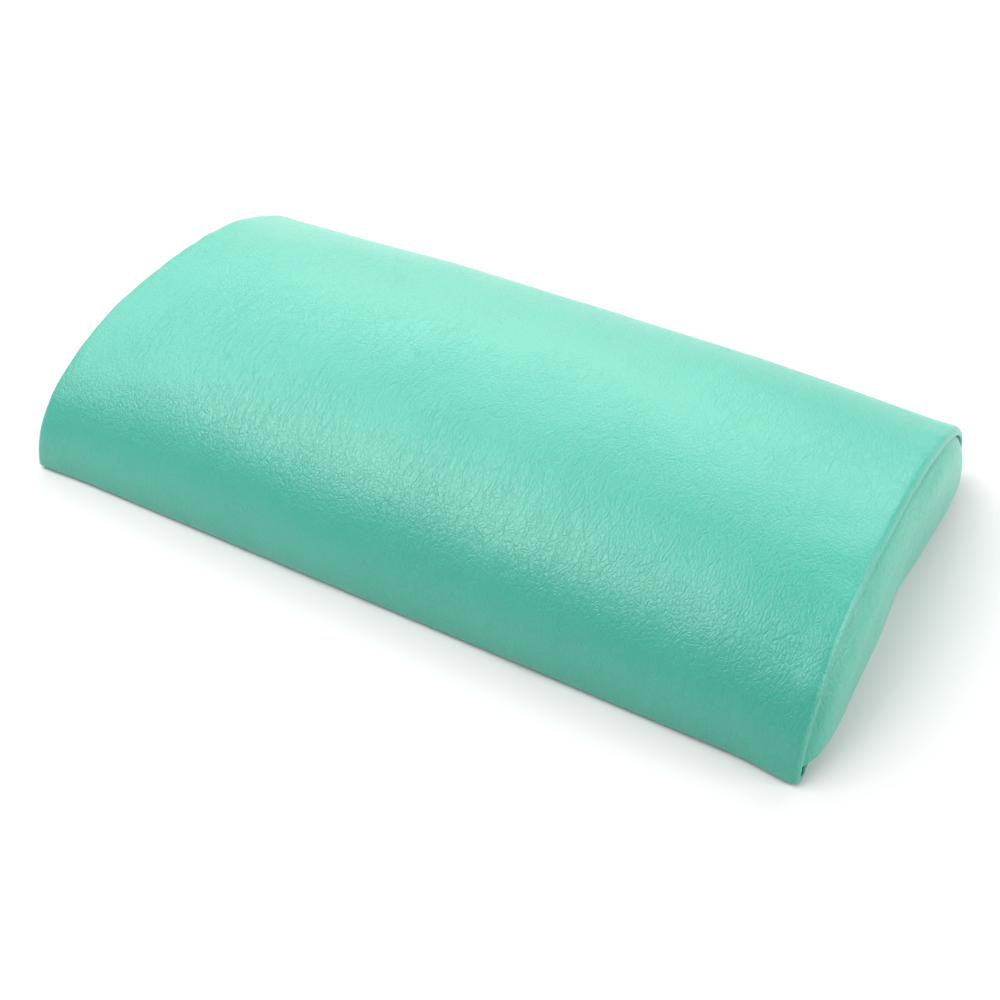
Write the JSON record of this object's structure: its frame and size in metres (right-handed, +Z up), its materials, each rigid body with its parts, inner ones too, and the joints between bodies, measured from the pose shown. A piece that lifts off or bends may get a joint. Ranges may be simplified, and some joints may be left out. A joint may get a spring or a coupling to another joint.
{
  "type": "half-round bolster pillow",
  "caption": "Half-round bolster pillow: a foam core in a wadding wrap inside a sewn soft vinyl cover that zips shut along its back wall.",
  "frame": {"origin": "centre of the flat base", "axes": "+Z up, +X along the pillow towards its right end, +Y towards the back, where the zip is"},
  "size_m": [0.4452, 0.2461, 0.081],
  "materials": {
    "vinyl": "mint green soft vinyl with a fine pebbled grain",
    "foam": "open-cell foam",
    "wadding": "polyester wadding",
    "thread": "sewing thread",
    "zip_tape": "woven tape",
    "zip_coil": "nylon coil",
    "zip_metal": "plated zinc"
  },
  "bodies": {
    "pillow": {"cover_top_panel": "vinyl", "cover_base_panel": "vinyl", "cover_end_panel_left": "vinyl", "cover_end_panel_right": "vinyl", "foam_core": "foam", "wadding_wrap": "wadding", "stitch_end_left": "thread", "stitch_end_right": "thread", "stitch_front_edge": "thread", "stitch_zip_upper": "thread", "stitch_zip_lower": "thread", "zip_tape_upper": "zip_tape", "zip_tape_lower": "zip_tape", "zip_coil_upper": "zip_coil", "zip_coil_lower": "zip_coil", "zip_top_stop_upper": "zip_metal", "zip_top_stop_lower": "zip_metal", "zip_bottom_stop": "zip_metal"},
    "slider": {"zip_slider": "zip_metal"},
    "pull_tab": {"zip_pull_tab": "zip_metal"}
  },
  "joints": [
    {"name": "slider_travel", "type": "slide", "parent": "pillow", "child": "slider", "axis": [-1, 0, 0], "range_m": [0, 0.3615], "deforming": ["zip_coil_upper", "zip_coil_lower"]},
    {"name": "pull_tab_swing", "type": "hinge", "parent": "slider", "child": "pull_tab", "pos_m": [0.182, 0.12087, 0.02014], "axis": [0, 0.2793, -0.9602], "range_deg": [0, 175]}
  ]
}
